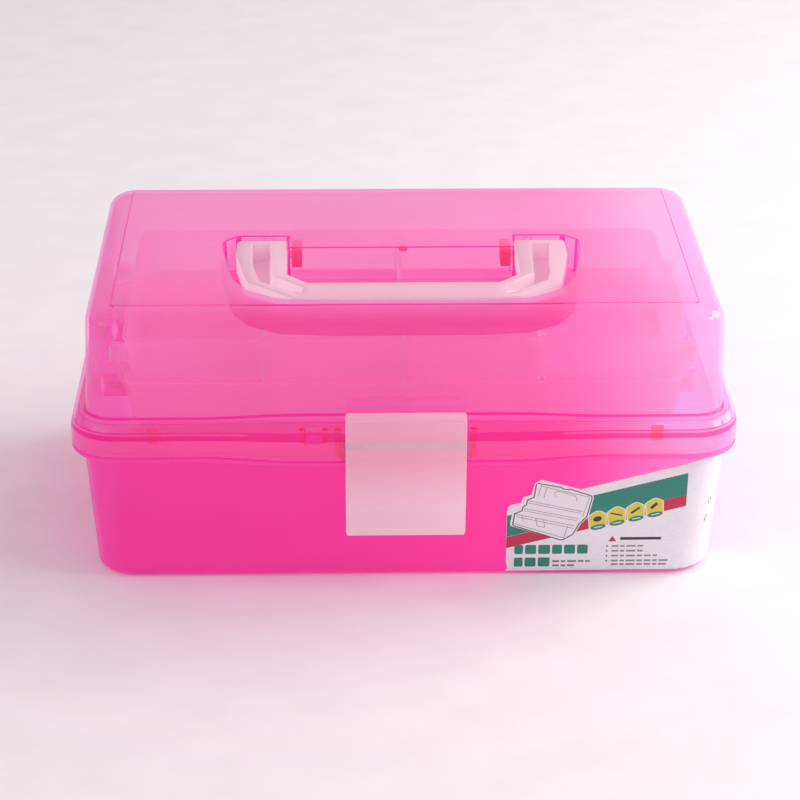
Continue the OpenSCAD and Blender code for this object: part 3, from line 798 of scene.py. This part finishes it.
def tray(name, node_name, pin_node):
    low, high = box_mm(node_name)
    half_x, half_y = 138, (high.y - low.y) / 2
    mid_y, z0, z1 = (low.y + high.y) / 2, low.z, high.z
    wall = 1.6
    deep = z1 - z0
    profile = [
        # inset, height, fillet, corner radius
        (10, 0.5, 0, 3), (5, 0.5, 0.4, 4), (4.4, 0, 0.4, 5), (3, 0, 1.4, 6), (0.25, deep - 2.4, 0.3, 8),
        (-0.7, deep - 1.9, 0.4, 8.7), (-0.7, deep, 0.6, 8.7), (wall, deep, 0.5, 6.6),
        (4.6, wall, 1.6, 5), (10, wall, 0, 3)]
    bm = bmesh.new()
    loops = [[(x, y, z0 + z) for x, y in rounded_loop(half_x - i, half_y - i, r, mid_y, 5, 8, 4)]
             for i, z, r in fillet(profile, steps=3)]
    first, last = chain(bm, loops)
    bm.faces.new(first)
    bm.faces.new(last[::-1])
    obj = mesh_object(name, bm, TRAY_PLASTIC)
    pivots = pivots_along(pin_node)
    pin_z = centre_mm(pin_node).z

    def ribs_and_bosses(tool):
        for x in (-70, 0, 70):
            for side in (-1, 1):
                for end in (-1, 1):
                    mid = x + side * (wall / 2 + 0.9)
                    y = mid_y + end * (half_y - 5.5)
                    block(tool, (mid - 0.6, y - 2.5, z0 + 1), (mid + 0.6, y + 2.5, z1 - 2), 0.25)
        for side in (-1, 1):
            for y in pivots:
                round_bar(tool, side * (half_x - 2.2), side * (ARM_IN - 0.4), y, pin_z, 5)

    def bores(tool):
        for side in (-1, 1):
            for y in pivots:
                round_bar(tool, side * (half_x - 6), side * (ARM_IN + 1), y, pin_z, PLASTIC_BORE, 0.1)

    combine(obj, "UNION", ribs_and_bosses)
    combine(obj, "DIFFERENCE", bores)
    return obj


# ---------------------------------------------------------------- label

FILM_GAP = 0.05                       # label clear of the wall
FILM_T = 0.2


def wall_point(s, z, out):
    """A point on the base's wall, s along it from the middle of the front, out from its surface.

    Round the corner s keeps step with the wall's lean, so that the label's end stays upright.
    """
    low = max(0, FOOT_ROUND - z)
    rounding = FOOT_ROUND - math.sqrt(FOOT_ROUND ** 2 - low ** 2)
    half_x = RIM_X - base_inset(z) - rounding + out
    half_y = half_x - (RIM_X - RIM_Y)
    r = FOOT_R + out
    flat = half_x - r
    round_corner = min(1, max(0, (s - 140) / 25))
    s += DRAFT * (z - 35) * round_corner
    if s <= flat:
        return (s, -half_y, z)
    a = (s - flat) / r
    if a <= math.pi / 2:
        return (flat + r * math.sin(a), -(half_y - r) - r * math.cos(a), z)
    return (half_x, -(half_y - r) + r * (a - math.pi / 2), z)


def band(s0, z0, s1, z1, height):
    """Sloping strip from its lower left corner to its lower right one."""
    return [(s0, z0), (s1, z1), (s1, z1 + height), (s0, z0 + height)]


def curve_loop(path, steps=4):
    return [(x, y) for x, y in fillet(path, True, steps)]


def stroke(a, b, width):
    """Thin bar between two points."""
    start, end = Vector(a), Vector(b)
    along = (end - start).normalized() * width / 2
    aside = Vector((-along.y, along.x))
    return [tuple(p) for p in (start - aside, end - aside, end + aside, start + aside)]


def lines(points, width):
    return [stroke(a, b, width) for a, b in zip(points, points[1:])]


LABEL_END = 170.5                     # along the wall, round the corner
LABEL_OUTLINE = [
    # along the wall, height, radius
    (51, 1.3, 0.6), (LABEL_END, 1.3, 0.6), (LABEL_END, 67.6, 0.6), (152, 67.4, 3), (87.2, 49.4, 1.5),
    (67.5, 55.2, 2.2), (64.2, 53.2, 1.2), (62.6, 46.4, 0.8), (58.6, 45.2, 1.2), (57.6, 41.8, 0.8),
    (50.7, 40.4, 4)]
BOX_EDGE = [(65.6, 53.4), (77.4, 51.0), (78.2, 50.2), (81.0, 49.6), (81.8, 50.0), (92.6, 45.9), (93.2, 44.8),
            (90.9, 33.4), (87.2, 29.4), (84.2, 23.0), (79.2, 19.8), (77.6, 19.9), (54.0, 28.4), (53.5, 29.6),
            (54.4, 35.8), (58.0, 37.6), (58.3, 39.6), (60.2, 41.0), (60.3, 43.6), (63.8, 45.4), (64.6, 52.6)]


def label_print():
    """Printed shapes from the back to the front, each an ink and an outline on the wall."""
    art = [("green", band(50.9, 22, 140, 45.9, 12.6)), ("red", band(50.9, 15.4, 140, 39.4, 6.5)),
           ("white", [(x - 1.1 if x < 75 else x + 0.6, z) for x, z in BOX_EDGE]),
           ("dark", BOX_EDGE), ("paper", shrunk(BOX_EDGE, 0.55))]
    art += [("grey", bar) for bar in box_drawing()]
    for k in range(4):
        art += tile(92.4 + 9.4 * k, 25.6 + 2.4 * k, k)
    art += [("green", bar) for bar in title_bars()]
    art += [("red", [(102.1, 18.9), (106.1, 18.9), (104.1, 22.2)])]
    art += [("dark", stroke((108, 20.6), (128.6, 20.6), 1.6))]
    for row, length in enumerate((17, 16, 24, 29)):
        z = 16.2 - 2.9 * row
        art += [("dark", ellipse(101.6, z, 0.5, 0.5, count=10))]
        art += [("grey", bar) for bar in word_bars(104, z, length, 1.0)]
    art += [("grey", bar) for bar in word_bars(104, 5.3, 28, 1.0)]
    art += [("grey", bar) for bar in word_bars(74.4, 7.4, 19, 1.2) + word_bars(74.4, 4.9, 11, 1.2)]
    art += [("grey", ellipse(154.5, 39, 1.3, 1.6)), ("paper", ellipse(154.5, 39, 0.8, 1.1)),
            ("green", ellipse(153, 29.5, 0.8, 2.2, -0.5)), ("paper", ellipse(153.1, 29.7, 0.4, 1.5, -0.5))]
    return art


def shrunk(points, by):
    outline = anticlockwise([(x, z, 0.05) for x, z in points])
    return [(x, z) for x, z, _ in grown(outline, -by)]


def box_drawing():
    """Line drawing of an open box with stepped trays."""
    w = 0.3
    inner = [(67.4, 51.6), (91.6, 44.9), (88.6, 33.6)]
    rows = [((60.8, 43.2), (88.4, 36.6)), ((61.4, 41.8), (87.6, 35.6)), ((58.6, 38.8), (86.6, 32.4)),
            ((59.2, 37.4), (85.8, 31.2)), ((55.0, 35.4), (84.8, 28.2)), ((55.4, 34.0), (84.2, 26.8)),
            ((54.6, 29.8), (79.6, 21.2)), ((58.2, 34.8), (59.0, 31.4)), ((65.2, 32.8), (66.0, 28.4)),
            ((69.2, 32.0), (69.8, 27.4)), ((65.2, 32.8), (69.2, 32.0)), ((66.0, 28.4), (69.8, 27.4)),
            ((79.6, 21.2), (81.4, 28.4)), ((67.4, 51.6), (66.0, 45.6)), ((70.2, 50.6), (68.8, 44.6))]
    bars = lines(inner, w)
    for a, b in rows:
        bars.append(stroke(a, b, w))
    grip = [(74.4, 45.4), (74.2, 48.0), (75.6, 48.6), (84.2, 46.0), (85.4, 44.4), (85.0, 42.6)]
    return bars + lines(grip, w)


def tile(s, z, kind):
    """Yellow tile with a rounded top, a small generic tool and a green oval."""
    corners = [(0, 0.9, 0.4), (8, 2.6, 0.4), (7.75, 9.6, 1), (3.75, 11.6, 4.5), (-0.75, 8, 1)]
    place = anticlockwise([(s + x, z + y, r) for x, y, r in corners])
    x, y = s + 3.7, z + 6.6
    tools = (ellipse(x, y, 2.2, 1.5, 0.3),
             stroke((x - 3, y + 0.9), (x + 3, y - 0.4), 0.8),
             stroke((x - 2.2, y - 1.6), (x + 2, y + 1.8), 1.1),
             stroke((x - 1.8, y - 1.2), (x + 1.2, y + 1.8), 1.6))
    oval = ellipse(s + 4.2, z + 1.9, 3.9, 1.5, 0.24)
    return [("white", curve_loop(grown(place, 0.45))), ("yellow", curve_loop(place)), ("dark", tools[kind]),
            ("green", oval), ("white", stroke((s + 2.2, z + 1.5), (s + 6.3, z + 2.4), 0.5))]


def title_bars():
    """Two rows of plain blocks in place of a title."""
    half, r = 2.7, 0.8
    blocks = []
    for z, widths in ((14.5, (4.4, 5.6, 6, 5, 5.6, 5.4)), (7, (4.4, 5.6, 6))):
        x = 55
        for width in widths:
            corners = [(x, z - half, r), (x + width, z - half, r), (x + width, z + half, r), (x, z + half, r)]
            blocks.append(curve_loop(corners, 2))
            x += width + 1
    return blocks


def word_bars(s, z, length, height):
    """A line of small type as plain dashes."""
    bars, x, k = [], s, 0
    while x < s + length - 1:
        width = min((3.4, 2.2, 4.6, 2.8)[k % 4], s + length - x)
        bars.append([(x, z - height / 2), (x + width, z - height / 2), (x + width, z + height / 2),
                     (x, z + height / 2)])
        x += width + 0.9
        k += 1
    return bars


def label():
    """Printed film that follows the wall and its corner. Each face takes the ink of the front-most shape."""
    art = label_print()
    points, faces = [], []
    for outline in [curve_loop(LABEL_OUTLINE)] + [anticlockwise(shape) for _, shape in art]:
        faces.append(list(range(len(points), len(points) + len(outline))))
        points.extend(Vector(p) for p in outline)
    inside = [Vector((134 + 1.6 * i, 3 + 2.4 * k)) for i in range(24) for k in range(27)]
    inside += [Vector((53 + 6 * i, 2 + 0.7 * k)) for i in range(19) for k in range(5)]
    inside = [p for p in inside if in_label(p)]
    verts, _, tris, _, _, origin = geometry.delaunay_2d_cdt(points + inside, [], faces, 1, 1e-5)
    names = ["paper"] + [ink for ink, _ in art]
    order = ["paper"] + sorted(INKS)
    bm = bmesh.new()
    front = [bm.verts.new(wall_point(v.x, v.y, FILM_GAP + FILM_T)) for v in verts]
    back = [bm.verts.new(wall_point(v.x, v.y, FILM_GAP)) for v in verts]
    for tri, source in zip(tris, origin):
        if 0 not in source:
            continue
        face = bm.faces.new([front[i] for i in tri])
        face.material_index = order.index(names[max(source)])
        bm.faces.new([back[i] for i in reversed(tri)])
    rim = [e for e in bm.edges if e.is_boundary]
    pair = dict(zip(front, back))
    for edge in rim:
        a, b = edge.verts
        if a in pair and b in pair:
            bm.faces.new((a, b, pair[b], pair[a]))
    loose = [v for v in bm.verts if not v.link_faces]
    bmesh.ops.delete(bm, geom=loose, context="VERTS")
    obj = mesh_object("label_film", bm, PAPER, 60)
    for ink in order[1:]:
        obj.data.materials.append(INKS[ink])
    return obj


def in_label(p):
    """True inside the label's plain outline, away from its edge."""
    outline = [(x, z) for x, z, _ in LABEL_OUTLINE]
    inside = False
    for (x0, z0), (x1, z1) in zip(outline, outline[1:] + outline[:1]):
        if (z0 > p.y) != (z1 > p.y) and p.x < x0 + (p.y - z0) * (x1 - x0) / (z1 - z0):
            inside = not inside
    return inside


# ---------------------------------------------------------------- assembly

def stand_for(obj, body, slot, *nodes):
    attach(obj, body)
    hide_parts(*nodes)


def carried_over():
    """CAD nodes that stay in view, with soft edges and a finish."""
    finish = {"latch_pin": STEEL, "hinge_pins": STEEL, "handle_pins": ARM_PLASTIC}
    for part in ("lower_dividers", "upper_dividers", "arm_link_pins", "lid_link_pins", "base_pivot_pins",
                 "lower_tray_pins", "upper_tray_pins"):
        finish[part] = MILKY_PLASTIC
    for side in ("left", "right"):
        for part in ("rear_arm", "front_arm", "lid_link"):
            finish[f"{part}_{side}"] = ARM_PLASTIC
    for name, material in finish.items():
        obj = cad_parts[name]
        obj.data.materials.clear()
        obj.data.materials.append(material)
        soften(obj, 0.25)


def assemble():
    stand_for(base_box(), "base", "base_plastic", "base_box")
    stand_for(lid(), "lid", "lid_plastic", "lid")
    ribs = lid_ribs()
    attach(ribs, "lid")
    stand_for(handle(), "handle", "milky_plastic", "handle")
    stand_for(latch(), "latch", "milky_plastic", "latch")
    stand_for(tray("lower_tray_moulding", "lower_tray", "lower_tray_pins"), "lower_tray", "tray_plastic",
              "lower_tray")
    stand_for(tray("upper_tray_moulding", "upper_tray", "upper_tray_pins"), "upper_tray", "tray_plastic",
              "upper_tray")
    stand_for(label(), "base", "label_film", "label")
    carried_over()


# ---------------------------------------------------------------- studio

def floor():
    material, tree = new_material("paper_floor")
    fibre = noise(tree, 30, 4)
    tone = blend_colours(tree, remap(tree, fibre, 0, 1), rgba((0.93, 0.915, 0.92)), rgba((0.95, 0.935, 0.94)))
    surface = node(tree, "ShaderNodeBsdfPrincipled", {"Base Color": tone, "Roughness": 0.75})
    node(tree, "ShaderNodeOutputMaterial", {"Surface": surface.outputs[0]})
    bm = bmesh.new()
    bmesh.ops.create_grid(bm, x_segments=8, y_segments=8, size=6000)
    obj = mesh_object("studio_floor", bm, material)
    obj.location.z = -0.0005


def soft_light(name, place, target, size, power, colour):
    data = bpy.data.lights.new(name, "AREA")
    data.shape = "SQUARE"
    data.size = size
    data.energy = power
    data.color = colour
    obj = bpy.data.objects.new(name, data)
    bpy.context.scene.collection.objects.link(obj)
    obj.location = place
    obj.rotation_euler = (Vector(target) - Vector(place)).to_track_quat("-Z", "Y").to_euler()


def studio():
    world = bpy.data.worlds.new("studio")
    bpy.context.scene.world = world
    world.use_nodes = True
    tree = world.node_tree
    background = tree.nodes["Background"]
    background.inputs["Color"].default_value = rgba((0.99, 0.965, 0.98))
    direction = node(tree, "ShaderNodeTexCoord").outputs["Generated"]
    slope = node(tree, "ShaderNodeVectorMath", {0: direction, 1: (0.24, 0.1, 0.08)}, operation="DOT_PRODUCT")
    level = node(tree, "ShaderNodeMath", {0: slope.outputs["Value"], 1: 0.605}, operation="ADD")
    tree.links.new(level.outputs[0], background.inputs["Strength"])
    soft_light("key", (1.5, 0.5, 0.85), (0, 0, 0.05), 0.9, 19.5, (1, 0.99, 0.98))
    soft_light("edge", (1.0, -0.25, 0.75), (0.1, 0, 0.08), 0.35, 3.5, (1, 0.99, 1))
    soft_light("fill", (-1.5, -1.1, 1.2), (0, 0, 0.05), 1.4, 6.5, (1, 0.98, 1))
    floor()
    scene = bpy.context.scene
    scene.view_settings.view_transform = "Standard"
    scene.cycles.transparent_max_bounces = 32
    scene.cycles.diffuse_bounces = 6


def camera():
    """View from the front and above, with the eye a little left of the middle."""
    eye = Vector((-32.55, -1168.09, 611.56)) * MM
    yaw, pitch, roll = 0.0276, 0.4447, 0.0052         # turned right, tilted down and rolled, in radians
    ahead = Vector((math.sin(yaw) * math.cos(pitch), math.cos(yaw) * math.cos(pitch), -math.sin(pitch)))
    right = Vector((math.cos(yaw), -math.sin(yaw), 0))
    up = right.cross(ahead)
    across = math.cos(roll) * right + math.sin(roll) * up
    upward = math.cos(roll) * up - math.sin(roll) * right
    data = bpy.data.cameras.new("camera")
    data.lens = 110.25
    data.sensor_width = 36
    data.clip_end = 30
    obj = bpy.data.objects.new("camera", data)
    bpy.context.scene.collection.objects.link(obj)
    turn = Matrix((across, upward, -ahead)).transposed().to_4x4()
    obj.matrix_world = Matrix.Translation(eye) @ turn
    bpy.context.scene.camera = obj


assemble()
studio()
camera()
